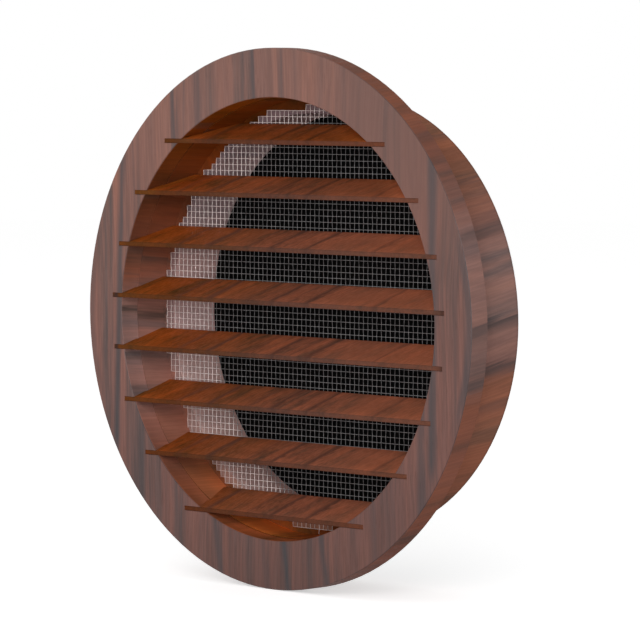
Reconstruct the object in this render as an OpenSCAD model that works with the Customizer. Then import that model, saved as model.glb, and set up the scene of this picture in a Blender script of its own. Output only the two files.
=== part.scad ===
// Round wooden wall vent with a flat front ring, a sleeve that goes into the
// wall, sloping slats, a wire mesh behind them and a black insect screen at
// the back.
//
// The vent looks along -Y, so the wall lies on the +Y side. The origin is on
// the vent's axis, in the plane of the ring's back face, where it meets the
// wall. X runs along the slats and Z points up. All sizes are in millimetres.

/* [Front ring] */

// Outside diameter of the front ring
ring_d = 558.8; // [510:0.1:700]

// Width of the front ring, from its round opening to its outside
ring_w = 50.8; // [36:0.1:75]

// Thickness of the front ring
ring_t = 23.8; // [15:0.1:35]

// Bevel that eases the sharp edges of the front ring
ring_ease = 0.8; // [0.3:0.1:3]

/* [Sleeve] */

// Length of the sleeve behind the front ring
sleeve_l = 99.5; // [75:0.5:160]

// Thickness of the sleeve's bent wall
sleeve_wall = 2.8; // [2:0.1:8]

// How far the sleeve's inside stands in from the ring's opening
sleeve_step = 1.2; // [0.4:0.1:1.6]

// Depth of the shallow seat for the sleeve in the ring's back
sleeve_seat = 0.8; // [0.4:0.1:1.5]

// How much the sleeve's outside tapers in towards its end in the seat
seat_taper = 0.4; // [0.2:0.1:0.8]

/* [Slats] */

// Thickness of a slat, square to its top
slat_t = 4.5; // [3:0.1:9]

// Slope of the slats, low at the front
slat_tilt = 15.5; // [5:0.5:25]

// Depth of the slats from the ring's face to their back edges
slat_depth = 57; // [40:0.5:75]

// How far each slat end is let into the front ring
slat_let_in = 14.2; // [5:0.1:20]

// Wood left in the ring behind the slat ends
slat_stop = 4; // [3:0.1:8]

// Free height between the top slat and the top of the opening
top_gap = 28.3; // [15:0.1:50]

// Free height between the lowest slat and the bottom of the opening
bottom_gap = 21.8; // [15:0.1:50]

// Bevel on the front corners of each slat
slat_ease = 0.5; // [0.2:0.1:1.2]

/* [Wire mesh] */

// Distance from one wire of the cloth to the next
mesh_pitch = 6.4; // [5:0.1:13]

// Width of a wire
wire_w = 1.2; // [0.8:0.1:2]

// Thickness of the woven cloth
mesh_t = 1.4; // [0.8:0.1:3]

// Gap between the cut edge of the mesh and the sleeve
mesh_margin = 3.8; // [1:0.1:8]

/* [Screen hoop and insect screen] */

// Width of the hoop that carries the mesh and the screen, in from the sleeve
hoop_w = 15.2; // [8:0.1:30]

// Thickness of the black insect screen
screen_t = 0.8; // [0.4:0.1:2]

// How far the insect screen lies in from the sleeve's back end
screen_inset = 1.2; // [0:0.1:5]

/* [Clearances] */

// Gap all round a slat end in its housing
housing_gap = 0.15; // [0.05:0.05:0.4]

// Gap between the sleeve and what is glued to it
glue_gap = 0.2; // [0.1:0.05:0.4]

// Gap between the slats' back edges and the mesh
mesh_gap = 2; // [0.1:0.1:4]

/* [Hidden] */

// The slats are named one by one, so their number is fixed
slat_count = 8;

// Only every seventh wire of the cloth is drawn here, and its whole cut edge
wires_drawn = 7;

// Radii
ring_r = ring_d / 2;
opening_r = ring_r - ring_w;
sleeve_bore_r = opening_r - sleeve_step;
sleeve_r = sleeve_bore_r + sleeve_wall;
inner_r = sleeve_bore_r - glue_gap;
housing_r = opening_r + slat_let_in;
hoop_r = inner_r - hoop_w;
mesh_r = inner_r - mesh_margin;
seat_r = sleeve_r + glue_gap;

// Planes along Y
face_y = -ring_t;
slat_back_y = face_y + slat_depth;
mesh_y = slat_back_y + mesh_gap;
hoop_y = mesh_y + mesh_t;
screen_y = sleeve_l - screen_inset - screen_t;

// Slats: height of one, cut upright, and how much it climbs to the back
slat_h = slat_t / cos(slat_tilt);
slat_rise = slat_depth * tan(slat_tilt);
slats_tall = 2 * opening_r - top_gap - bottom_gap;
slat_pitch = (slats_tall - slat_rise - slat_h) / (slat_count - 1);

// A cell of the cloth is in the middle, with this many above it and below it
cells = floor(mesh_r / mesh_pitch - 0.5);

// What is cut runs this far past the faces it goes through
over = 1;

$fn = 180;

wood = [0.45, 0.3, 0.25];
wood_warm = [0.42, 0.24, 0.17];
wood_dark = [0.36, 0.22, 0.16];
wire_grey = [0.78, 0.74, 0.73];
screen_black = [0.03, 0.03, 0.03];

// Node to draw, or all of them

// Height of the lower front corner of slat n, with 1 at the top
function slat_z(n) = bottom_gap - opening_r + (slat_count - n) * slat_pitch;

// Half the length of slat n in the ring, where its ends are cut square
function slat_half(n) = sqrt(housing_r ^ 2 - (slat_z(n) + slat_h / 2) ^ 2);

// Half the width of a row of whole cells, by its number up or down from the
// middle row, or 0 where no cell fits
function row_half(row) =
    let (reach = mesh_r ^ 2 - ((abs(row) + 0.5) * mesh_pitch) ^ 2)
    reach < (mesh_pitch / 2) ^ 2 ? 0
        : (floor(sqrt(reach) / mesh_pitch - 0.5) + 0.5) * mesh_pitch;

// Turns a shape about the vent's axis, from an outline of radius and depth
module turned(outline) {
    rotate([-90, 0, 0])
        rotate_extrude()
            polygon(outline);
}

// A round bar along the vent's axis from depth near to depth far
module round_bar(r, near, far) {
    translate([0, near, 0])
        rotate([-90, 0, 0])
            cylinder(r = r, h = far - near);
}

// Runs an outline of depth and height along X, to both sides of the middle
module along_x(outline, length) {
    rotate([90, 0, 90])
        linear_extrude(height = length, center = true)
            polygon(outline);
}

// The sloping board of slat n before its ends are cut, with its front corners
// bevelled
module slat_board(n) {
    low = slat_z(n);
    ease_h = slat_ease * tan(slat_tilt);
    along_x([
        [face_y + slat_ease, low + ease_h],
        [slat_back_y, low + slat_rise],
        [slat_back_y, low + slat_rise + slat_h],
        [face_y + slat_ease, low + slat_h + ease_h],
        [face_y, low + slat_h - slat_ease],
        [face_y, low + slat_ease]
    ], ring_d);
}

// The housing for slat n: the same slope, a little larger, open to the face
module slat_housing(n) {
    climb = (ring_t - slat_stop) * tan(slat_tilt);
    drop = over * tan(slat_tilt);
    low = slat_z(n) - housing_gap;
    high = slat_z(n) + slat_h + housing_gap;
    along_x([
        [face_y - over, low - drop],
        [-slat_stop, low + climb],
        [-slat_stop, high + climb],
        [face_y - over, high - drop]
    ], 2 * (slat_half(n) + housing_gap));
}

module front_ring() {
    color(wood)
        difference() {
            turned([
                [opening_r, -sleeve_seat],
                [opening_r, face_y + ring_ease],
                [opening_r + ring_ease, face_y],
                [ring_r - ring_ease, face_y],
                [ring_r, face_y + ring_ease],
                [ring_r, -ring_ease],
                [ring_r - ring_ease, 0],
                [seat_r, 0],
                [seat_r - seat_taper, -sleeve_seat]
            ]);
            for (n = [1:slat_count])
                slat_housing(n);
        }
}

// The sleeve, tapered where it stands in the ring's seat
module sleeve() {
    color(wood_dark)
        turned([
            [sleeve_bore_r, -sleeve_seat],
            [sleeve_r - seat_taper, -sleeve_seat],
            [sleeve_r, 0],
            [sleeve_r, sleeve_l],
            [sleeve_bore_r, sleeve_l]
        ]);
}

// Slat n, long where it is let into the ring and cut to the sleeve behind it
module slat(n) {
    half = slat_half(n);
    end_y = -slat_stop - housing_gap;
    color(wood_warm)
        intersection() {
            slat_board(n);
            union() {
                translate([-half, face_y - over, -ring_r])
                    cube([2 * half, end_y - face_y + over, ring_d]);
                round_bar(inner_r, face_y - over, slat_back_y + over);
            }
        }
}

// Outline of the cloth, cut along its wires, and drawn in by the given width
module mesh_outline(inset) {
    for (row = [-cells:cells]) {
        half = row_half(row) - inset;
        beyond = row_half(abs(row) + 1) - inset;
        grow = inset > 0 ? 0 : 0.01;
        // The next row outwards is narrower, so the inset keeps a wire there
        step = beyond < half ? inset : -grow;
        low = (row - 0.5) * mesh_pitch + (row <= 0 ? step : -grow);
        high = (row + 0.5) * mesh_pitch - (row >= 0 ? step : -grow);
        translate([-half, low])
            square([2 * half, high - low]);
        if (beyond > 0)
            translate([-beyond, (row - 0.5) * mesh_pitch - grow])
                square([2 * beyond, mesh_pitch + 2 * grow]);
    }
}

module wire_mesh() {
    spacing = wires_drawn * mesh_pitch;
    steps = floor(mesh_r / spacing);
    color(wire_grey)
        translate([0, mesh_y + mesh_t, 0])
            rotate([90, 0, 0])
                linear_extrude(height = mesh_t)
                    union() {
                        difference() {
                            mesh_outline(0);
                            mesh_outline(wire_w);
                        }
                        intersection() {
                            mesh_outline(0);
                            for (i = [-steps - 0.5:steps + 0.5]) {
                                translate([i * spacing - wire_w / 2, -mesh_r])
                                    square([wire_w, 2 * mesh_r]);
                                translate([-mesh_r, i * spacing - wire_w / 2])
                                    square([2 * mesh_r, wire_w]);
                            }
                        }
                    }
}

module screen_hoop() {
    color(wood_dark)
        turned([
            [hoop_r, hoop_y],
            [inner_r, hoop_y],
            [inner_r, screen_y],
            [hoop_r, screen_y]
        ]);
}

module insect_screen() {
    color(screen_black)
        round_bar(inner_r, screen_y, screen_y + screen_t);
}

front_ring();
sleeve();
slat(1);  // slat_1
slat(2);  // slat_2
slat(3);  // slat_3
slat(4);  // slat_4
slat(5);  // slat_5
slat(6);  // slat_6
slat(7);  // slat_7
slat(8);  // slat_8
wire_mesh();
screen_hoop();
insect_screen();
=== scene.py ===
import math

import bmesh
import bpy
from mathutils import Matrix, Vector


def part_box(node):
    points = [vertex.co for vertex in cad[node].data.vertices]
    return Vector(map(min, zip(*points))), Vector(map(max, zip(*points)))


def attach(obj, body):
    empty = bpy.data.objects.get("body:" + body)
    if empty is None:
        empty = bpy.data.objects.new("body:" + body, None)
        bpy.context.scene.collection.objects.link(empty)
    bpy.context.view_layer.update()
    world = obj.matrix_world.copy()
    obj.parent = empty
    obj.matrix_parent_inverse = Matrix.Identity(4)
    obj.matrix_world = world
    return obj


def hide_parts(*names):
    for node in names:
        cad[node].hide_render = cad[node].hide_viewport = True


# Round wooden wall vent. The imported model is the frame: metres, +Y into the wall, +Z up.
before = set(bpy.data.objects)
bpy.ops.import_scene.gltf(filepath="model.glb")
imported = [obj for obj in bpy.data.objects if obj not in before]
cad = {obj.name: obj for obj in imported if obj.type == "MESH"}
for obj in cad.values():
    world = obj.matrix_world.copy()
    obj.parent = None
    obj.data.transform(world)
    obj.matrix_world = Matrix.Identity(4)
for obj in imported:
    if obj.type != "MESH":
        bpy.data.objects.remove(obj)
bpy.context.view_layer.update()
scene = bpy.context.scene
print("frame loaded,", len(cad), "solids")

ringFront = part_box("front_ring")[0].y
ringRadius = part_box("front_ring")[1].x
openingRadius = 0.2286
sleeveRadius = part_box("sleeve")[1].x
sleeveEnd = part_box("sleeve")[1].y
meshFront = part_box("wire_mesh")[0].y
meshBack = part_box("wire_mesh")[1].y
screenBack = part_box("insect_screen")[1].y


# Short names for the shader nodes that every finish uses
def addNode(tree, kind, plugs=None, **settings):
    node = tree.nodes.new(kind)
    for key, value in settings.items():
        setattr(node, key, value)
    for plug, value in (plugs or {}).items():
        if isinstance(value, bpy.types.NodeSocket):
            tree.links.new(value, node.inputs[plug])
        else:
            node.inputs[plug].default_value = value
    return node


def calc(tree, operation, first, second=0.0, third=0.0):
    plugs = {0: first, 1: second, 2: third}
    return addNode(tree, "ShaderNodeMath", plugs, operation=operation).outputs[0]


def fade(tree, value, low, high, start=0.0, end=1.0, straight=False):
    plugs = {"Value": value, "From Min": low, "From Max": high, "To Min": start, "To Max": end}
    return addNode(tree, "ShaderNodeMapRange", plugs, interpolation_type="LINEAR" if straight else "SMOOTHSTEP").outputs[0]


def blend(tree, amount, under, over, mode="MIX"):
    plugs = {0: amount, 6: under, 7: over}
    return addNode(tree, "ShaderNodeMix", plugs, data_type="RGBA", blend_type=mode).outputs[2]


def grey(level):
    return (level, level, level, 1.0)


def ramp(tree, value, stops, smooth="LINEAR"):
    node = addNode(tree, "ShaderNodeValToRGB", {0: value})
    band = node.color_ramp
    band.interpolation = smooth
    band.elements[0].position = stops[0][0]
    band.elements[1].position = stops[-1][0]
    for spot, tone in stops[1:-1]:
        band.elements.new(spot)
    for element, (spot, tone) in zip(band.elements, stops):
        element.color = tone if len(tone) == 4 else (*tone, 1.0)
    return node.outputs[0]


def fibres(tree, coords, axis, across, along, detail=3.0, rough=0.55, warp=0.0):
    # Noise drawn out along the grain, with scales in waves per metre
    scale = [across, across, across]
    scale[axis] = along
    spread = addNode(tree, "ShaderNodeMapping", {"Vector": coords, "Scale": scale})
    plugs = {"Vector": spread.outputs[0], "Scale": 1.0, "Detail": detail, "Roughness": rough, "Distortion": warp}
    return addNode(tree, "ShaderNodeTexNoise", plugs).outputs[0]


def streakBand(tree, where, streaks, low, high):
    # Named dark streaks: (place, half width, depth) in the units of low and high
    span = high - low
    stops = [(0.0, grey(0.0))]
    for spot, half, depth in sorted(streaks):
        for edge, level in ((spot - half, 0.0), (spot, depth), (spot + half, 0.0)):
            stops.append(((edge - low) / span, grey(level)))
    stops.append((1.0, grey(0.0)))
    place = calc(tree, "DIVIDE", calc(tree, "SUBTRACT", where, low), span)
    return ramp(tree, place, stops, "EASE")


def startFinish(name):
    material = bpy.data.materials.new(name)
    material.use_nodes = True
    tree = material.node_tree
    return material, tree, tree.nodes["Principled BSDF"]


def objectCoords(tree):
    coords = addNode(tree, "ShaderNodeTexCoord").outputs["Object"]
    parts = addNode(tree, "ShaderNodeSeparateXYZ", {0: coords}).outputs
    return coords, parts[0], parts[1], parts[2]


def wander(tree, coords, size, amount):
    # Lets the grain lines drift sideways a little along the board
    drift = addNode(tree, "ShaderNodeTexNoise", {"Vector": coords, "Scale": size, "Detail": 1.0}).outputs[1]
    centred = addNode(tree, "ShaderNodeVectorMath", {0: drift, 1: (0.5, 0.5, 0.5)}, operation="SUBTRACT").outputs[0]
    scaled = addNode(tree, "ShaderNodeVectorMath", {0: centred, "Scale": amount}, operation="SCALE").outputs[0]
    return addNode(tree, "ShaderNodeVectorMath", {0: coords, 1: scaled}, operation="ADD").outputs[0]


def woodGrain(tree, coords, axis, share=0.6, again=0.5, detail=1.0):
    # Tone, height and dullness of one cut of wood with its grain along axis. Share is
    # that of the broad bands, again deepens them, and detail is for the finest lines
    look = grainLook
    bent = wander(tree, coords, look["driftSize"], look["drift"])
    broad = fibres(tree, bent, axis, look["broad"], look["broad"] * 0.05, 2.0)
    narrow = fibres(tree, bent, axis, look["narrow"], look["narrow"] * 0.035, 3.0, 0.6)
    fine = fibres(tree, bent, axis, look["fine"], look["fine"] * 0.03, 2.0, 0.6)
    pores = fibres(tree, bent, axis, look["pores"], look["pores"] * 0.045, 1.0)
    mixed = calc(tree, "ADD", calc(tree, "MULTIPLY", broad, share), calc(tree, "MULTIPLY", narrow, 1.0 - share))
    band = ramp(tree, mixed, look["tones"])
    tone = blend(tree, again, band, band, "MULTIPLY")
    thin = fade(tree, fine, 0.36, 0.68)
    lines = fade(tree, thin, 0.0, 1.0, 1.0 - look["fineDepth"] * detail, 1.0 + look["fineDepth"] * detail)
    tone = blend(tree, 1.0, tone, lines, "MULTIPLY")
    dashes = fade(tree, pores, 0.60, 0.74)
    tone = blend(tree, 1.0, tone, fade(tree, dashes, 0.0, 1.0, 1.0, 1.0 - look["poreDepth"] * detail), "MULTIPLY")
    height = calc(tree, "SUBTRACT", calc(tree, "ADD", calc(tree, "MULTIPLY", thin, 0.45), broad), calc(tree, "MULTIPLY", dashes, 0.8))
    dull = calc(tree, "ADD", calc(tree, "MULTIPLY", thin, -0.10), calc(tree, "MULTIPLY", dashes, 0.18))
    return tone, height, dull, narrow


def finishWood(tree, shader, colour, height, dull, look):
    tree.links.new(colour, shader.inputs["Base Color"])
    rough = calc(tree, "ADD", dull, look["rough"])
    tree.links.new(rough, shader.inputs["Roughness"])
    shader.inputs["Specular IOR Level"].default_value = look["shine"]
    plugs = {"Height": height, "Strength": look["bump"], "Distance": 0.0006}
    relief = addNode(tree, "ShaderNodeBump", plugs)
    tree.links.new(relief.outputs[0], shader.inputs["Normal"])


# Wood of the front ring, the sleeve, the slats and the hoop. The base colour of each
# piece is multiplied by the tones, which are bluer where they are dark
grainLook = dict(
    tones=[
        (0.34, (0.60, 0.76, 0.86)), (0.42, (0.84, 0.90, 0.94)), (0.48, (0.97, 0.97, 0.98)),
        (0.53, (1.04, 1.02, 1.02)), (0.60, (1.13, 1.08, 1.05)), (0.68, (1.26, 1.16, 1.10)),
    ],
    driftSize=6.0, drift=0.016,
    broad=30.0, narrow=105.0, fine=420.0, pores=1300.0,
    fineDepth=0.10, poreDepth=0.14,
)

# Front ring: upright grain on its face, pale and pinkish, partly a painted sheen, darker and bluer towards the bottom
faceLook = dict(
    heights=[
        (-0.28, (0.101, 0.046, 0.037)), (-0.18, (0.123, 0.056, 0.0455)), (-0.05, (0.158, 0.072, 0.057)),
        (0.08, (0.170, 0.079, 0.061)), (0.20, (0.161, 0.081, 0.065)), (0.28, (0.160, 0.082, 0.0665)),
    ],
    streakLow=(0.030, 0.030, 0.034, 1.0), streakHigh=(0.062, 0.047, 0.048, 1.0), edgeLeft=0.40, edgeRight=0.70,
    leftShade=(1.14, 1.09, 1.05, 1.0), rightShade=(0.91, 0.895, 0.89, 1.0), again=0.6,
    edgeShade=(0.60, 0.57, 0.57, 1.0), calm=0.6,
    rough=0.50, shine=0.30, bump=0.16,
    upperStreaks=[
        (-0.208, 0.004, 0.40), (-0.145, 0.006, 0.90), (-0.126, 0.004, 0.55), (-0.108, 0.008, 0.60),
        (-0.038, 0.004, 0.45), (-0.024, 0.006, 0.92), (0.018, 0.005, 0.65), (0.106, 0.006, 0.25),
    ],
    lowerStreaks=[
        (-0.199, 0.006, 0.30), (-0.139, 0.007, 0.30), (-0.083, 0.009, 0.65), (-0.014, 0.007, 0.35),
        (0.0145, 0.0065, 0.85), (0.072, 0.007, 0.70), (0.146, 0.009, 0.30), (0.174, 0.004, 0.30),
        (0.213, 0.015, 0.68),
    ],
    sideStreaks=[
        (-0.232, 0.0075, 0.92), (0.226, 0.010, 0.88), (0.258, 0.004, 0.25),
    ],
)

# Rims of the ring and the sleeve's outside, by the angle round the axis from +X up to +Z.
# Besides the wood's own tone they hold painted light: a pale painted sheen where the rims face
# right, towards the lamps, and the sleeve is lifted against the shadow of the ring
rimLook = dict(
    ringAngles=[
        (-180, (0.150, 0.060, 0.040)), (-75, (0.130, 0.045, 0.030)), (-50, (0.152, 0.053, 0.034)), (-38, (0.196, 0.072, 0.0435)),
        (-28, (0.184, 0.071, 0.047)), (-15, (0.184, 0.070, 0.044)), (-10, (0.168, 0.093, 0.078)), (5, (0.188, 0.108, 0.095)),
        (20, (0.212, 0.121, 0.105)), (27, (0.189, 0.091, 0.071)), (40, (0.170, 0.068, 0.046)), (54, (0.194, 0.068, 0.038)),
        (70, (0.156, 0.051, 0.028)), (90, (0.160, 0.056, 0.036)), (180, (0.150, 0.060, 0.040)),
    ],
    sleeveAngles=[
        (-180, (0.200, 0.080, 0.050)), (-75, (0.230, 0.090, 0.056)), (-48, (0.252, 0.097, 0.059)), (-38, (0.264, 0.101, 0.060)),
        (-28, (0.300, 0.117, 0.071)), (-14, (0.256, 0.101, 0.062)), (-9, (0.217, 0.114, 0.096)), (4, (0.238, 0.136, 0.115)),
        (20, (0.284, 0.152, 0.125)), (27, (0.196, 0.099, 0.079)), (40, (0.262, 0.107, 0.066)), (50, (0.206, 0.083, 0.050)),
        (56, (0.272, 0.110, 0.063)), (90, (0.200, 0.074, 0.048)), (180, (0.200, 0.080, 0.050)),
    ],
    streakTone=(0.070, 0.055, 0.054, 1.0), sway=7.0, share=0.70, again=0.2,
    ringLean=(0.75, -0.012), sleeveLean=(0.75, 0.080),
    rough=0.75, shine=0.02, bump=0.16,
    ringStreaks=[(-150.0, 1.6, 0.6), (-95.0, 1.2, 0.5), (-33.0, 1.2, 0.20), (-10.8, 1.6, 0.95), (-0.5, 1.4, 1.0), (9.0, 0.9, 0.20), (19.4, 1.8, 0.65), (43.0, 1.2, 0.7), (88.0, 1.5, 0.5), (140.0, 1.2, 0.6)],
    sleeveStreaks=[(-140.0, 1.5, 0.6), (-100.0, 1.2, 0.5), (-21.0, 2.2, 0.45), (-10.4, 1.8, 1.0), (0.9, 2.0, 0.95), (17.5, 1.0, 0.20), (24.3, 2.0, 0.65), (38.9, 1.5, 0.65), (54.5, 1.6, 0.5), (110.0, 1.5, 0.55)],
)

# Inner walls of the ring and sleeve, by the angle from the left side, up positive.
# Besides the wood's own tone they hold painted light: a pale painted sheen on the left wall,
# which faces the lamps, and in the sleeve a bright painted lift low down under the lowest slat,
# against its shadow
boreLook = dict(
    ringAngles=[
        (-180, (0.30, 0.10, 0.06)), (-96, (0.262, 0.073, 0.024)), (-74, (0.360, 0.098, 0.034)), (-48, (0.240, 0.083, 0.046)),
        (-38, (0.276, 0.104, 0.068)), (-22, (0.345, 0.174, 0.142)), (-8, (0.318, 0.182, 0.157)), (4, (0.278, 0.145, 0.116)),
        (10, (0.270, 0.096, 0.057)), (18, (0.181, 0.062, 0.035)), (30, (0.134, 0.040, 0.017)), (50, (0.178, 0.043, 0.007)),
        (75, (0.248, 0.059, 0.005)), (100, (0.240, 0.060, 0.008)), (180, (0.30, 0.10, 0.06)),
    ],
    sleeveAngles=[
        (-180, (0.36, 0.12, 0.07)), (-92, (0.420, 0.110, 0.025)), (-84, (0.780, 0.215, 0.046)), (-67, (0.880, 0.265, 0.070)), (-58, (0.460, 0.148, 0.062)), (-48, (0.420, 0.140, 0.062)),
        (-38, (0.378, 0.143, 0.088)), (-22, (0.392, 0.182, 0.138)), (-8, (0.382, 0.194, 0.156)), (4, (0.365, 0.168, 0.127)),
        (10, (0.370, 0.128, 0.078)), (18, (0.246, 0.082, 0.043)), (30, (0.178, 0.050, 0.020)), (50, (0.218, 0.048, 0.007)),
        (75, (0.255, 0.058, 0.004)), (100, (0.245, 0.060, 0.008)), (180, (0.36, 0.12, 0.07)),
    ],
    streakTone=(0.075, 0.056, 0.048, 1.0), sway=8.0, share=0.70, again=0.3,
    ringLean=(0.2, 0.0), sleeveLean=(0.2, 0.0),
    rough=0.65, shine=0.06, bump=0.14,
    ringStreaks=[(-64.0, 1.6, 0.5), (-40.0, 1.5, 0.4), (-22.0, 1.2, 0.5), (-13.0, 1.0, 0.6), (0.0, 1.6, 0.90), (16.0, 1.5, 0.6), (33.0, 1.6, 0.5), (60.0, 2.0, 0.5)],
    sleeveStreaks=[(-66.0, 1.6, 0.5), (-38.0, 1.8, 0.45), (-24.0, 1.2, 0.45), (-12.0, 1.0, 0.5), (-1.0, 1.7, 0.95), (14.0, 1.6, 0.6), (35.0, 1.8, 0.5), (57.0, 2.0, 0.5)],
)


def wallGrain(tree, coords, y, look, part, mirrored):
    # Grain along the depth on a round wall, toned by the angle round the axis, with the painted sheen and shade of the
    # looks.
    # It leans: it turns by so many radians a metre from a middle depth
    lean, middle = look[part + "Lean"]
    plugs = {"Vector": coords, "Axis": (0.0, 1.0, 0.0), "Angle": calc(tree, "MULTIPLY", calc(tree, "SUBTRACT", y, middle), lean)}
    leaning = addNode(tree, "ShaderNodeVectorRotate", plugs, rotation_type="AXIS_ANGLE").outputs[0]
    across, depth, upward = addNode(tree, "ShaderNodeSeparateXYZ", {0: leaning}).outputs
    side = calc(tree, "MULTIPLY", across, -1.0) if mirrored else across
    angle = calc(tree, "MULTIPLY", calc(tree, "ARCTAN2", upward, side), 57.2958)
    grain, height, dull, narrow = woodGrain(tree, leaning, 1, look["share"], look["again"], 0.5)
    wavy = calc(tree, "ADD", angle, calc(tree, "MULTIPLY", calc(tree, "SUBTRACT", narrow, 0.5), look["sway"]))
    base = ramp(tree, fade(tree, wavy, -180.0, 180.0, straight=True), [((spot + 180) / 360, tone) for spot, tone in look[part + "Angles"]])
    colour = blend(tree, 1.0, base, grain, "MULTIPLY")
    marks = streakBand(tree, wavy, look[part + "Streaks"], -180.0, 180.0)
    colour = blend(tree, marks, colour, look["streakTone"])
    return colour, height, dull


def makeRingFinish():
    material, tree, shader = startFinish("ringOiledWood")
    coords, x, y, z = objectCoords(tree)
    radius = calc(tree, "SQRT", calc(tree, "ADD", calc(tree, "MULTIPLY", x, x), calc(tree, "MULTIPLY", z, z)))
    grain, height, dull, narrow = woodGrain(tree, coords, 2, again=faceLook["again"], detail=0.8)
    # The upper right is plainer than the rest
    calm = calc(tree, "MULTIPLY", fade(tree, x, 0.06, 0.12), fade(tree, z, 0.04, 0.14, 0.0, faceLook["calm"]))
    grain = blend(tree, calm, grain, grey(1.0))
    base = ramp(tree, fade(tree, z, -0.28, 0.28, straight=True), [((spot + 0.28) / 0.56, tone) for spot, tone in faceLook["heights"]])
    colour = blend(tree, 1.0, base, grain, "MULTIPLY")
    shade = blend(tree, fade(tree, x, -0.18, 0.22), faceLook["leftShade"], faceLook["rightShade"])
    colour = blend(tree, 1.0, colour, shade, "MULTIPLY")
    sway = calc(tree, "MULTIPLY", calc(tree, "SUBTRACT", narrow, 0.5), 0.020)
    upper = calc(tree, "ADD", calc(tree, "ADD", x, calc(tree, "MULTIPLY", z, 0.04)), sway)
    upper = calc(tree, "SUBTRACT", upper, 0.006)
    lean = calc(tree, "MULTIPLY", calc(tree, "ADD", z, 0.22), fade(tree, calc(tree, "ABSOLUTE", x), 0.12, 0.20, 0.16, 0.0))
    lower = calc(tree, "ADD", calc(tree, "ADD", x, lean), sway)
    upright = calc(tree, "ADD", x, calc(tree, "MULTIPLY", z, fade(tree, x, -0.1, 0.1, -0.035, 0.0)))
    upright = calc(tree, "ADD", upright, calc(tree, "MULTIPLY", sway, 0.5))
    top = streakBand(tree, upper, faceLook["upperStreaks"], -0.29, 0.29)
    bottom = streakBand(tree, lower, faceLook["lowerStreaks"], -0.32, 0.32)
    marks = blend(tree, fade(tree, z, -0.05, 0.05), bottom, top)
    beside = streakBand(tree, upright, faceLook["sideStreaks"], -0.29, 0.29)
    beside = calc(tree, "MULTIPLY", beside, fade(tree, z, -0.17, -0.13))
    marks = calc(tree, "MAXIMUM", marks, beside)
    # A dark line follows the outside at half height, on both sides
    line = calc(tree, "MULTIPLY", fade(tree, radius, 0.2675, 0.2745), fade(tree, calc(tree, "ABSOLUTE", z), 0.06, 0.11, 1.0, 0.0))
    line = calc(tree, "MULTIPLY", line, fade(tree, x, -0.1, 0.1, faceLook["edgeLeft"], faceLook["edgeRight"]))
    marks = calc(tree, "MAXIMUM", marks, line)
    streak = blend(tree, fade(tree, z, -0.18, 0.14), faceLook["streakLow"], faceLook["streakHigh"])
    colour = blend(tree, marks, colour, streak)
    outside = wallGrain(tree, coords, y, rimLook, "ring", False)
    inside = wallGrain(tree, coords, y, boreLook, "ring", True)
    onRim = fade(tree, radius, ringRadius - 0.00020, ringRadius - 0.00005)
    onBore = fade(tree, radius, openingRadius + 0.00005, openingRadius + 0.00020, 1.0, 0.0)
    # Painted shade: the bevels that catch the light, on the right of the outside and the left of the opening, are a
    # little darker than the faces beside them
    outerEdge = calc(tree, "MULTIPLY", fade(tree, radius, ringRadius - 0.0009, ringRadius - 0.0007), fade(tree, x, 0.0, 0.2))
    innerEdge = calc(tree, "MULTIPLY", fade(tree, radius, openingRadius + 0.0007, openingRadius + 0.0009, 1.0, 0.0), fade(tree, x, -0.2, 0.0, 1.0, 0.0))
    colour = blend(tree, calc(tree, "MAXIMUM", outerEdge, innerEdge), colour, faceLook["edgeShade"], "MULTIPLY")
    # Painted light and shade in the opening: darker at the front and lighter towards the back, where the lamps reach it
    # less, most so at the bottom
    openingLight = blend(tree, 1.0, inside[0], fade(tree, y, ringFront, 0.0, 0.86, 1.12), "MULTIPLY")
    openingLight = blend(tree, fade(tree, z, -0.20, -0.18, 1.0, 0.0), openingLight, fade(tree, y, ringFront, -0.003, 0.86, 1.25), "MULTIPLY")
    colour = blend(tree, onRim, colour, outside[0])
    colour = blend(tree, onBore, colour, openingLight)
    height = blend(tree, onRim, height, outside[1])
    finishWood(tree, shader, colour, height, dull, faceLook)
    walls = calc(tree, "MAXIMUM", onRim, onBore)
    tree.links.new(fade(tree, walls, 0.0, 1.0, faceLook["shine"], rimLook["shine"]), shader.inputs["Specular IOR Level"])
    return material


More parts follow.
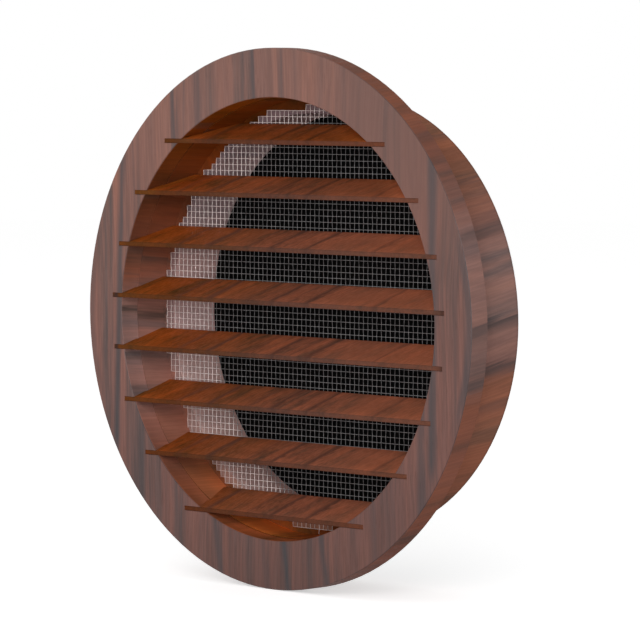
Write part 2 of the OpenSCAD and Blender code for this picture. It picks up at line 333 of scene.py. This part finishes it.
def makeSleeveFinish():
    material, tree, shader = startFinish("sleeveBentWood")
    coords, x, y, z = objectCoords(tree)
    radius = calc(tree, "SQRT", calc(tree, "ADD", calc(tree, "MULTIPLY", x, x), calc(tree, "MULTIPLY", z, z)))
    outside = wallGrain(tree, coords, y, rimLook, "sleeve", False)
    inside = wallGrain(tree, coords, y, boreLook, "sleeve", True)
    outer = fade(tree, radius, sleeveRadius - 0.0016, sleeveRadius - 0.0012)
    # Behind the hoop and at the cut end the inside is like the outside
    outer = calc(tree, "MAXIMUM", outer, fade(tree, y, 0.05, 0.06))
    # Painted light: the inside is darker by the lip and lighter deeper in, where the lamps reach it less
    within = blend(tree, 1.0, inside[0], fade(tree, y, 0.0, 0.034, 0.82, 1.05, True), "MULTIPLY")
    # Painted light low on the inside, deeper in and under the lowest slat, lifted warm against the shade there
    golden = calc(tree, "MAXIMUM", calc(tree, "MULTIPLY", fade(tree, z, -0.16, -0.13, 1.0, 0.0), fade(tree, y, 0.006, 0.028)), fade(tree, z, -0.21, -0.20, 0.7, 0.0))
    within = blend(tree, golden, within, (1.26, 1.18, 1.05, 1.0), "MULTIPLY")
    colour = blend(tree, outer, within, outside[0])
    height = blend(tree, outer, inside[1], outside[1])
    # Painted shade on the lip in the ring's opening, to make it as dark as the walls beside it,
    # most so where they face up or down
    lip = fade(tree, y, -0.00078, -0.00070, 1.0, 0.0)
    lipShade = calc(tree, "MULTIPLY", fade(tree, x, -0.225, -0.15, 0.76, 0.48), fade(tree, z, -0.215, -0.18, 0.43, 1.0))
    colour = blend(tree, lip, colour, lipShade, "MULTIPLY")
    # The cut end at the back is darker and dustier
    end = fade(tree, y, sleeveEnd - 0.004, sleeveEnd)
    colour = blend(tree, calc(tree, "MULTIPLY", end, 0.5), colour, (0.55, 0.55, 0.58, 1.0), "MULTIPLY")
    finishWood(tree, shader, colour, height, outside[2], rimLook)
    tree.links.new(fade(tree, outer, 0.0, 1.0, boreLook["shine"], rimLook["shine"]), shader.inputs["Specular IOR Level"])
    return material


# Slats: short grain from front to back, the same run of boards on every slat
slatLook = dict(
    across=[
        (-0.24, (0.315, 0.076, 0.009)), (-0.19, (0.280, 0.064, 0.009)), (-0.15, (0.238, 0.057, 0.012)), (-0.08, (0.238, 0.071, 0.026)),
        (0.0, (0.248, 0.083, 0.045)),
        (0.08, (0.285, 0.096, 0.052)), (0.16, (0.320, 0.102, 0.052)), (0.24, (0.310, 0.100, 0.052)),
    ],
    share=0.52, again=1.0, detail=0.9, calm=0.50,
    cover=(0.79, 0.35), coverLow=0.12, coverHigh=1.1, backLift=1.25, goldenEnds=(1.14, 1.36, 1.3, 1.0),
    topLeftShade=(1.14, 0.86, 0.46, 1.0), topRightShade=(0.66, 0.49, 0.19, 1.0),
    frontShade=(0.370, 0.445, 0.535, 1.0), frontEnds=(1.0, 0.82, 0.66, 1.0),
    streakTone=(0.095, 0.040, 0.028, 1.0),
    rough=0.6, shine=0.06, bump=0.16,
    lean=0.11,
    streaks=[(-0.240, 0.008, 0.95), (-0.143, 0.007, 0.50), (-0.097, 0.008, 0.80), (-0.038, 0.005, 0.45), (-0.004, 0.006, 0.90), (0.022, 0.005, 0.40), (0.047, 0.007, 0.90), (0.104, 0.005, 0.20), (0.142, 0.005, 0.55), (0.238, 0.008, 0.70)],
)


def paintLightOnSlatBacks(tree, colour, x, y, z, front):
    # Painted light on the slats towards the back, against their shade: most where the ring
    # shadows the right ends high up, and the upper left ends are lifted more golden
    depth = calc(tree, "SUBTRACT", y, ringFront)
    aside = calc(tree, "MULTIPLY_ADD", depth, slatLook["cover"][0], x)
    above = calc(tree, "MULTIPLY_ADD", depth, slatLook["cover"][1], z)
    reach = calc(tree, "SQRT", calc(tree, "ADD", calc(tree, "MULTIPLY", aside, aside), calc(tree, "MULTIPLY", above, above)))
    ringShaded = calc(tree, "MULTIPLY", fade(tree, reach, 0.204, 0.235), fade(tree, x, 0.0, 0.05))
    amount = fade(tree, z, 0.07, 0.185, slatLook["coverLow"], slatLook["coverHigh"])
    lift = calc(tree, "MULTIPLY_ADD", ringShaded, amount, 1.0)
    lift = calc(tree, "MULTIPLY", lift, fade(tree, depth, 0.015, 0.045, 1.0, slatLook["backLift"]))
    colour = blend(tree, calc(tree, "SUBTRACT", 1.0, front), colour, lift, "MULTIPLY")
    radius = calc(tree, "SQRT", calc(tree, "ADD", calc(tree, "MULTIPLY", x, x), calc(tree, "MULTIPLY", z, z)))
    golden = calc(tree, "MULTIPLY", fade(tree, radius, 0.212, 0.222), fade(tree, x, -0.10, -0.05, 1.0, 0.0))
    golden = calc(tree, "MULTIPLY", golden, fade(tree, z, 0.08, 0.14))
    return blend(tree, golden, colour, slatLook["goldenEnds"], "MULTIPLY")


def makeSlatFinish():
    material, tree, shader = startFinish("slatWarmWood")
    coords, x, y, z = objectCoords(tree)
    grain, height, dull, narrow = woodGrain(tree, coords, 1, slatLook["share"], slatLook["again"], slatLook["detail"])
    front = fade(tree, y, ringFront + 0.0004, ringFront + 0.0012, 1.0, 0.0)
    # The right half and the front edges are plainer
    calm = calc(tree, "MAXIMUM", fade(tree, x, 0.05, 0.10, 0.0, slatLook["calm"]), calc(tree, "MULTIPLY", front, slatLook["calm"]))
    grain = blend(tree, calm, grain, grey(1.0))
    # Orange at the left ends, browner and greyer to the right
    base = ramp(tree, fade(tree, x, -0.24, 0.24, straight=True), [((spot + 0.24) / 0.48, tone) for spot, tone in slatLook["across"]])
    colour = blend(tree, 1.0, base, grain, "MULTIPLY")
    sway = calc(tree, "MULTIPLY", calc(tree, "SUBTRACT", narrow, 0.5), 0.016)
    where = calc(tree, "ADD", calc(tree, "ADD", x, calc(tree, "MULTIPLY", y, slatLook["lean"])), sway)
    marks = streakBand(tree, where, slatLook["streaks"], -0.25, 0.25)
    tips = fade(tree, calc(tree, "ABSOLUTE", x), 0.205, 0.215, 0.35, 1.0)
    marks = calc(tree, "MULTIPLY", marks, calc(tree, "MAXIMUM", tips, calc(tree, "SUBTRACT", 1.0, front)))
    colour = blend(tree, marks, colour, slatLook["streakTone"])
    # Painted shade on the upper slats, where the ring's top shadows them: darker to the right, redder at the left ends
    high = calc(tree, "MULTIPLY", fade(tree, z, 0.095, 0.18), calc(tree, "SUBTRACT", 1.0, front))
    upper = blend(tree, fade(tree, x, -0.12, 0.05), slatLook["topLeftShade"], slatLook["topRightShade"])
    colour = blend(tree, high, colour, upper, "MULTIPLY")
    colour = paintLightOnSlatBacks(tree, colour, x, y, z, front)
    # The front edges, flush with the ring, are end grain; they face the lamps and get painted shade to the tone of the
    # tops, warmer on the slats high and low
    away = fade(tree, calc(tree, "ABSOLUTE", z), 0.10, 0.20)
    edge = blend(tree, away, slatLook["frontShade"], blend(tree, 1.0, slatLook["frontShade"], slatLook["frontEnds"], "MULTIPLY"))
    colour = blend(tree, front, colour, edge, "MULTIPLY")
    finishWood(tree, shader, colour, height, dull, slatLook)
    return material


# Hardware cloth: woven wires in quarter inch cells, cut back to whole cells
clothSpec = dict(
    pitch=0.0064,
    wire=0.00064,
    weave=0.00026,
    reach=0.2234,
    sides=6,
    leftEnds={34: 1.5, 33: 10.5, 26: 21.5, 25: 22.5, 24: 23.5, 22: 25.5, 18: 28.5, 16: 29.5, 6: 34.5, 5: 34.5, -7: 34.5, -10: 33.5, -19: 29.5, -20: 29.5, -27: 21.5, -28: 20.5},
    rightEnds={34: 2.5},
    looseEnd=(1, -0.2256),
)


def rowEnd(row, fixed):
    if row in fixed:
        return fixed[row]
    edge = (abs(row) + 0.5) * clothSpec["pitch"]
    room = clothSpec["reach"] ** 2 - edge**2
    return math.floor(math.sqrt(room) / clothSpec["pitch"] - 0.5) + 0.5


# Hoop behind the mesh: greyer wood than the rest, pale with painted light where the inside is dim
# and darker towards the top, but toned as the walls, with painted shade, where it shows beside the cloth
hoopLook = dict(
    heights=[
        (-0.22, (0.97, 0.64, 0.58)), (-0.12, (0.97, 0.64, 0.58)), (-0.065, (0.96, 0.65, 0.60)), (-0.01, (0.84, 0.57, 0.55)), (0.045, (0.71, 0.45, 0.42)),
        (0.10, (0.455, 0.335, 0.335)), (0.22, (0.45, 0.325, 0.325)),
    ],
    frontShades=[
        (-0.22, (0.40, 0.28, 0.20)), (-0.20, (0.42, 0.34, 0.28)), (-0.15, (0.42, 0.40, 0.39)), (0.15, (0.42, 0.41, 0.42)),
        (0.19, (0.44, 0.43, 0.46)), (0.22, (0.46, 0.42, 0.44)),
    ],
    besideLow=0.45, beside=0.85, besideHigh=0.5, again=0.0, detail=0.5, lime=0.55, rough=0.65, shine=0.1, bump=0.15,
)


def clothCover(tree, x, z):
    # 1 behind the cells of the cloth, 0 beyond its stepped edge
    pitch = clothSpec["pitch"]
    row = calc(tree, "ROUND", calc(tree, "DIVIDE", z, pitch))
    edge = calc(tree, "MULTIPLY", calc(tree, "ADD", calc(tree, "ABSOLUTE", row), 0.5), pitch)
    room = calc(tree, "SUBTRACT", clothSpec["reach"] ** 2, calc(tree, "MULTIPLY", edge, edge))
    whole = calc(tree, "FLOOR", calc(tree, "SUBTRACT", calc(tree, "DIVIDE", calc(tree, "SQRT", room), pitch), 0.5))
    right = calc(tree, "ADD", whole, 0.5)
    left = right
    for number, end in clothSpec["leftEnds"].items():
        here = calc(tree, "COMPARE", row, float(number), 0.1)
        left = calc(tree, "MULTIPLY_ADD", here, end - rowEnd(number, {}), left)
    column = calc(tree, "DIVIDE", x, pitch)
    within = calc(tree, "LESS_THAN", column, calc(tree, "ADD", right, 0.05))
    return calc(tree, "MULTIPLY", within, calc(tree, "GREATER_THAN", column, calc(tree, "SUBTRACT", -0.05, left)))


def makeHoopFinish():
    material, tree, shader = startFinish("hoopPaleWood")
    coords, x, y, z = objectCoords(tree)
    grain, height, dull, narrow = woodGrain(tree, coords, 1, again=hoopLook["again"], detail=hoopLook["detail"])
    grain = blend(tree, hoopLook["lime"], grain, grey(1.0))
    base = ramp(tree, fade(tree, z, -0.22, 0.22, straight=True), [((spot + 0.22) / 0.44, tone) for spot, tone in hoopLook["heights"]])
    colour = blend(tree, 1.0, base, grain, "MULTIPLY")
    # Painted shade on the front, which faces the lamps, browner at the bottom
    front = fade(tree, y, meshBack + 0.0002, meshBack + 0.0004, 1.0, 0.0)
    shade = ramp(tree, fade(tree, z, -0.22, 0.22, straight=True), [((spot + 0.22) / 0.44, tone) for spot, tone in hoopLook["frontShades"]])
    colour = blend(tree, front, colour, shade, "MULTIPLY")
    # Beside the cloth the front takes the walls' tone with painted shade, deepest at the bottom and the top
    wall = wallGrain(tree, coords, y, boreLook, "sleeve", True)[0]
    wall = blend(tree, 1.0, wall, fade(tree, z, -0.20, -0.14, hoopLook["besideLow"], hoopLook["beside"]), "MULTIPLY")
    wall = blend(tree, 1.0, wall, fade(tree, z, 0.175, 0.195, 1.0, hoopLook["besideHigh"]), "MULTIPLY")
    beside = calc(tree, "MULTIPLY", front, calc(tree, "SUBTRACT", 1.0, clothCover(tree, x, z)))
    colour = blend(tree, beside, colour, wall)
    finishWood(tree, shader, colour, height, dull, hoopLook)
    return material


# Insect screen: fine black cloth of plain weave
screenLook = dict(pitch=0.0015, thread=(0.0045, 0.0045, 0.0048, 1.0), hole=(0.001, 0.001, 0.001, 1.0), dust=(0.008, 0.0075, 0.007, 1.0), rough=0.8)


def makeScreenFinish():
    material, tree, shader = startFinish("blackScreenCloth")
    coords, x, y, z = objectCoords(tree)
    turns = 2.0 * math.pi / screenLook["pitch"]
    across = calc(tree, "ABSOLUTE", calc(tree, "SINE", calc(tree, "MULTIPLY", x, turns / 2)))
    upward = calc(tree, "ABSOLUTE", calc(tree, "SINE", calc(tree, "MULTIPLY", z, turns / 2)))
    threads = calc(tree, "MAXIMUM", fade(tree, across, 0.62, 0.82), fade(tree, upward, 0.62, 0.82))
    dusty = addNode(tree, "ShaderNodeTexNoise", {"Vector": coords, "Scale": 14.0, "Detail": 4.0}).outputs[0]
    cloth = blend(tree, fade(tree, dusty, 0.45, 0.75, 0.0, 0.6), screenLook["thread"], screenLook["dust"])
    colour = blend(tree, threads, screenLook["hole"], cloth)
    tree.links.new(colour, shader.inputs["Base Color"])
    rough = fade(tree, threads, 0.0, 1.0, 0.95, screenLook["rough"])
    tree.links.new(rough, shader.inputs["Roughness"])
    shader.inputs["Specular IOR Level"].default_value = 0.02
    relief = addNode(tree, "ShaderNodeBump", {"Height": threads, "Strength": 0.3, "Distance": 0.0002})
    tree.links.new(relief.outputs[0], shader.inputs["Normal"])
    return material


# Galvanised wire of the mesh and the staples, with painted light: pale near the left wall and along the bottom row
wireLook = dict(bright=(0.24, 0.235, 0.24, 1.0), dull=(0.14, 0.137, 0.138, 1.0), litPale=(0.97, 0.86, 0.83, 1.0), across=1.35, upright=0.76, metal=0.2, rough=0.5)


def makeWireFinish():
    material, tree, shader = startFinish("galvanisedWire")
    coords, x, y, z = objectCoords(tree)
    spangle = addNode(tree, "ShaderNodeTexNoise", {"Vector": coords, "Scale": 420.0, "Detail": 3.0}).outputs[0]
    colour = blend(tree, fade(tree, spangle, 0.35, 0.65), wireLook["dull"], wireLook["bright"])
    # The wires that run across are a little brighter than the upright ones
    off = calc(tree, "ABSOLUTE", calc(tree, "SUBTRACT", calc(tree, "FRACT", calc(tree, "DIVIDE", z, clothSpec["pitch"])), 0.5))
    colour = blend(tree, 1.0, colour, fade(tree, off, 0.05, 0.08, wireLook["across"], wireLook["upright"]), "MULTIPLY")
    # Painted light: the wires near the left wall and in the bottom row are pale
    reach = calc(tree, "SQRT", calc(tree, "MAXIMUM", calc(tree, "SUBTRACT", 0.212 * 0.212, calc(tree, "MULTIPLY", z, z)), 0.0))
    inFrom = calc(tree, "ADD", x, reach)
    litWires = calc(tree, "MAXIMUM", fade(tree, inFrom, 0.054, 0.068, 1.0, 0.0), fade(tree, z, -0.206, -0.202, 1.0, 0.0))
    colour = blend(tree, litWires, colour, wireLook["litPale"])
    tree.links.new(colour, shader.inputs["Base Color"])
    shader.inputs["Metallic"].default_value = wireLook["metal"]
    rough = fade(tree, spangle, 0.3, 0.7, wireLook["rough"] + 0.15, wireLook["rough"] - 0.08)
    tree.links.new(rough, shader.inputs["Roughness"])
    relief = addNode(tree, "ShaderNodeBump", {"Height": spangle, "Strength": 0.2, "Distance": 0.0001})
    tree.links.new(relief.outputs[0], shader.inputs["Normal"])
    return material


ringFinish = makeRingFinish()
sleeveFinish = makeSleeveFinish()
slatFinish = makeSlatFinish()
hoopFinish = makeHoopFinish()
screenFinish = makeScreenFinish()
wireFinish = makeWireFinish()
print("finishes made")


def dress(node, finish):
    mesh = cad[node].data
    mesh.materials.clear()
    mesh.materials.append(finish)


dress("front_ring", ringFinish)
dress("sleeve", sleeveFinish)
for number in range(1, 9):
    dress(f"slat_{number}", slatFinish)
dress("screen_hoop", hoopFinish)
dress("insect_screen", screenFinish)
print("solids dressed")

def weaveWire(cloth, start, end, fixed, upright, phase):
    # One wire from start to end, in cells, bent over and under those it crosses
    pitch, thick = clothSpec["pitch"], clothSpec["wire"] / 2
    cells = max(2, round(end - start))
    length = (end - start) * pitch
    turn = Matrix.Identity(4) if upright else Matrix.Rotation(math.pi / 2, 4, "Y")
    wire = bmesh.new()
    bmesh.ops.create_cone(wire, cap_ends=True, segments=clothSpec["sides"], radius1=thick, radius2=thick, depth=length, matrix=turn)
    along = 2 if upright else 0
    longEdges = [e for e in wire.edges if abs(e.verts[0].co[along] - e.verts[1].co[along]) > length / 2]
    bmesh.ops.subdivide_edges(wire, edges=longEdges, cuts=cells - 1)
    middle = (start + end) / 2 * pitch
    for v in wire.verts:
        v.co[along] += middle
        crossing = round(v.co[along] / pitch - 0.5)
        lift = clothSpec["weave"] if (crossing + phase) % 2 else -clothSpec["weave"]
        v.co[2 - along] += fixed * pitch
        v.co.y += (meshFront + meshBack) / 2 + lift
    mesh = bpy.data.meshes.new("one_wire")
    wire.to_mesh(mesh)
    wire.free()
    cloth.from_mesh(mesh)
    bpy.data.meshes.remove(mesh)


def makeCloth():
    cloth = bmesh.new()
    rows = range(-34, 35)
    left = {row: rowEnd(row, clothSpec["leftEnds"]) for row in rows}
    right = {row: rowEnd(row, clothSpec["rightEnds"]) for row in rows}
    for line in range(-35, 35):
        near = [row for row in (line, line + 1) if row in left]
        weaveWire(cloth, -max(left[row] for row in near), max(right[row] for row in near), line + 0.5, False, line)
    for line in range(-35, 35):
        place = line + 0.5
        held = [row for row in rows if (place < 0 and left[row] >= -place) or (place > 0 and right[row] >= place)]
        if held:
            low = min(held) - 0.5
            if line == clothSpec["looseEnd"][0]:
                low = clothSpec["looseEnd"][1] / clothSpec["pitch"]
            weaveWire(cloth, low, max(held) + 0.5, place, True, line + 1)
    mesh = bpy.data.meshes.new("wire_cloth")
    cloth.to_mesh(mesh)
    cloth.free()
    for polygon in mesh.polygons:
        polygon.use_smooth = True
    piece = bpy.data.objects.new("wire_cloth", mesh)
    scene.collection.objects.link(piece)
    mesh.materials.append(wireFinish)
    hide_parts("wire_mesh")
    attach(piece, "root")
    return piece


wireCloth = makeCloth()
print("wire cloth woven,", len(wireCloth.data.polygons), "faces")

# Staples that hold the mesh and the screen to the hoop, flat wire driven into it
stapleSpec = dict(
    crown=0.0096, wide=0.0011, thick=0.0005, leg=0.0040, round=0.0001,
    meshHeights=[0.1888, 0.1312, 0.0800, 0.0224, -0.0352, -0.0864, -0.1440, -0.2016], meshRing=0.2165,
    screenRing=0.2196, screenCount=20, screenStart=9.0,
)


def addStaple(staples, place):
    # Crown along Z in the plane y = 0, legs towards +Y
    crown, wide, thick = stapleSpec["crown"], stapleSpec["wide"], stapleSpec["thick"]
    one = bmesh.new()
    shape = Matrix.Translation((0.0, -thick / 2, 0.0)) @ Matrix.Diagonal((wide, thick, crown, 1.0))
    bmesh.ops.create_cube(one, size=1.0, matrix=shape)
    for end in (-1.0, 1.0):
        parts = one.verts[:] + one.edges[:] + one.faces[:]
        bmesh.ops.bisect_plane(one, geom=parts, plane_co=(0.0, 0.0, end * (crown / 2 - thick)), plane_no=(0.0, 0.0, end))
    for end in (-1.0, 1.0):
        foot = [f for f in one.faces if f.normal.y > 0.9 and f.calc_center_median().z * end > crown / 2 - thick]
        grown = bmesh.ops.extrude_face_region(one, geom=foot)["geom"]
        tips = [part for part in grown if isinstance(part, bmesh.types.BMVert)]
        bmesh.ops.translate(one, verts=tips, vec=(0.0, stapleSpec["leg"], 0.0))
        bmesh.ops.delete(one, geom=foot, context="FACES_ONLY")
    bmesh.ops.recalc_face_normals(one, faces=one.faces[:])
    sharp = [e for e in one.edges if e.is_manifold and e.calc_face_angle() > 1.0]
    bmesh.ops.bevel(one, geom=sharp, offset=stapleSpec["round"], segments=2, profile=0.5, affect="EDGES")
    one.transform(place)
    mesh = bpy.data.meshes.new("one_staple")
    one.to_mesh(mesh)
    one.free()
    staples.from_mesh(mesh)
    bpy.data.meshes.remove(mesh)


def makeStaples():
    staples = bmesh.new()
    pitch = clothSpec["pitch"]
    for height in stapleSpec["meshHeights"]:
        side = round(math.sqrt(stapleSpec["meshRing"] ** 2 - height**2) / pitch) * pitch
        for x in (-side, side):
            line = (round(height / pitch - 0.5) + 0.5) * pitch
            addStaple(staples, Matrix.Translation((x, meshFront, line)))
    for number in range(stapleSpec["screenCount"]):
        angle = math.radians(stapleSpec["screenStart"] + 360.0 / stapleSpec["screenCount"] * number)
        spot = Vector((stapleSpec["screenRing"], 0.0, 0.0))
        turn = Matrix.Rotation(-angle, 4, "Y") @ Matrix.Translation(spot) @ Matrix.Rotation(math.pi, 4, "Z")
        addStaple(staples, Matrix.Translation((0.0, screenBack, 0.0)) @ turn)
    mesh = bpy.data.meshes.new("staples")
    staples.to_mesh(mesh)
    staples.free()
    piece = bpy.data.objects.new("staples", mesh)
    scene.collection.objects.link(piece)
    mesh.materials.append(wireFinish)
    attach(piece, "root")
    return piece


staples = makeStaples()
print("staples driven,", len(staples.data.polygons), "faces")

# Studio: white floor and surroundings, a broad lamp over the camera, a weak one from
# the left, and a low one that reaches in between the slats
studio = dict(
    floorSize=16.0, floorGlow=0.54, world=0.5,
    keyPower=118.0, keySize=2.6, keyPlace=(2.7, -3.4, 1.2),
    fillPower=8.0, fillSize=2.6, fillPlace=(-2.4, -3.2, 1.8),
    lowPower=12.5, lowSize=0.4, lowPlace=(2.5, -2.7, -0.05),
)


def makeStage():
    surface = bmesh.new()
    bmesh.ops.create_grid(surface, x_segments=1, y_segments=1, size=studio["floorSize"] / 2)
    mesh = bpy.data.meshes.new("studio_floor")
    surface.to_mesh(mesh)
    surface.free()
    floor = bpy.data.objects.new("studio_floor", mesh)
    floor.location.z = -ringRadius - 0.0002
    scene.collection.objects.link(floor)
    material = bpy.data.materials.new("floorWhite")
    material.use_nodes = True
    tree = material.node_tree
    tree.nodes.clear()
    matt = addNode(tree, "ShaderNodeBsdfDiffuse", {"Color": grey(0.9)})
    glow = addNode(tree, "ShaderNodeEmission", {"Color": grey(1.0), "Strength": studio["floorGlow"]})
    both = addNode(tree, "ShaderNodeAddShader", {0: matt.outputs[0], 1: glow.outputs[0]})
    path = addNode(tree, "ShaderNodeLightPath")
    seen = calc(tree, "MAXIMUM", path.outputs["Is Camera Ray"], calc(tree, "MAXIMUM", path.outputs["Is Glossy Ray"], path.outputs["Is Transmission Ray"]))
    pick = addNode(tree, "ShaderNodeMixShader", {0: seen, 1: matt.outputs[0], 2: both.outputs[0]})
    out = addNode(tree, "ShaderNodeOutputMaterial", {0: pick.outputs[0]})
    mesh.materials.append(material)
    world = bpy.data.worlds.new("studioWhite")
    scene.world = world
    world.use_nodes = True
    sky = world.node_tree
    sky.nodes.clear()
    path = addNode(sky, "ShaderNodeLightPath")
    seen = calc(sky, "MAXIMUM", path.outputs["Is Camera Ray"], calc(sky, "MAXIMUM", path.outputs["Is Glossy Ray"], path.outputs["Is Transmission Ray"]))
    plain = addNode(sky, "ShaderNodeBackground", {0: grey(1.0), 1: studio["world"]})
    white = addNode(sky, "ShaderNodeBackground", {0: grey(1.0), 1: 1.0})
    pick = addNode(sky, "ShaderNodeMixShader", {0: seen, 1: plain.outputs[0], 2: white.outputs[0]})
    addNode(sky, "ShaderNodeOutputWorld", {0: pick.outputs[0]})


def addLamp(name, power, size, place):
    lamp = bpy.data.lights.new(name, "AREA")
    lamp.energy = power
    lamp.size = size
    lampObject = bpy.data.objects.new(name, lamp)
    lampObject.location = place
    lampObject.rotation_euler = (-Vector(place)).to_track_quat("-Z", "Y").to_euler()
    scene.collection.objects.link(lampObject)


makeStage()
addLamp("keyLamp", studio["keyPower"], studio["keySize"], studio["keyPlace"])
addLamp("fillLamp", studio["fillPower"], studio["fillSize"], studio["fillPlace"])
addLamp("lowLamp", studio["lowPower"], studio["lowSize"], studio["lowPlace"])
print("studio lit")

# Camera, from the view that fits the photograph
view = dict(azimuth=44.697, elevation=3.495, distance=4.1965, lens=229.32, aside=0.04971, lift=-0.00033)


def placeCamera():
    turn, rise = math.radians(view["azimuth"]), math.radians(view["elevation"])
    back = Vector((math.sin(turn) * math.cos(rise), -math.cos(turn) * math.cos(rise), math.sin(rise)))
    right = Vector((math.cos(turn), math.sin(turn), 0.0))
    up = back.cross(right)
    spot = Vector((0.0, ringFront, 0.0)) + back * view["distance"] + right * view["aside"] + up * view["lift"]
    data = bpy.data.cameras.new("vent_camera")
    data.lens = view["lens"]
    data.sensor_width = 36.0
    data.clip_start, data.clip_end = 0.1, 60.0
    camera = bpy.data.objects.new("vent_camera", data)
    scene.collection.objects.link(camera)
    axes = Matrix((right, up, back)).transposed().to_4x4()
    camera.matrix_world = Matrix.Translation(spot) @ axes
    scene.camera = camera


placeCamera()
scene.view_settings.view_transform = "Standard"
print("camera placed")
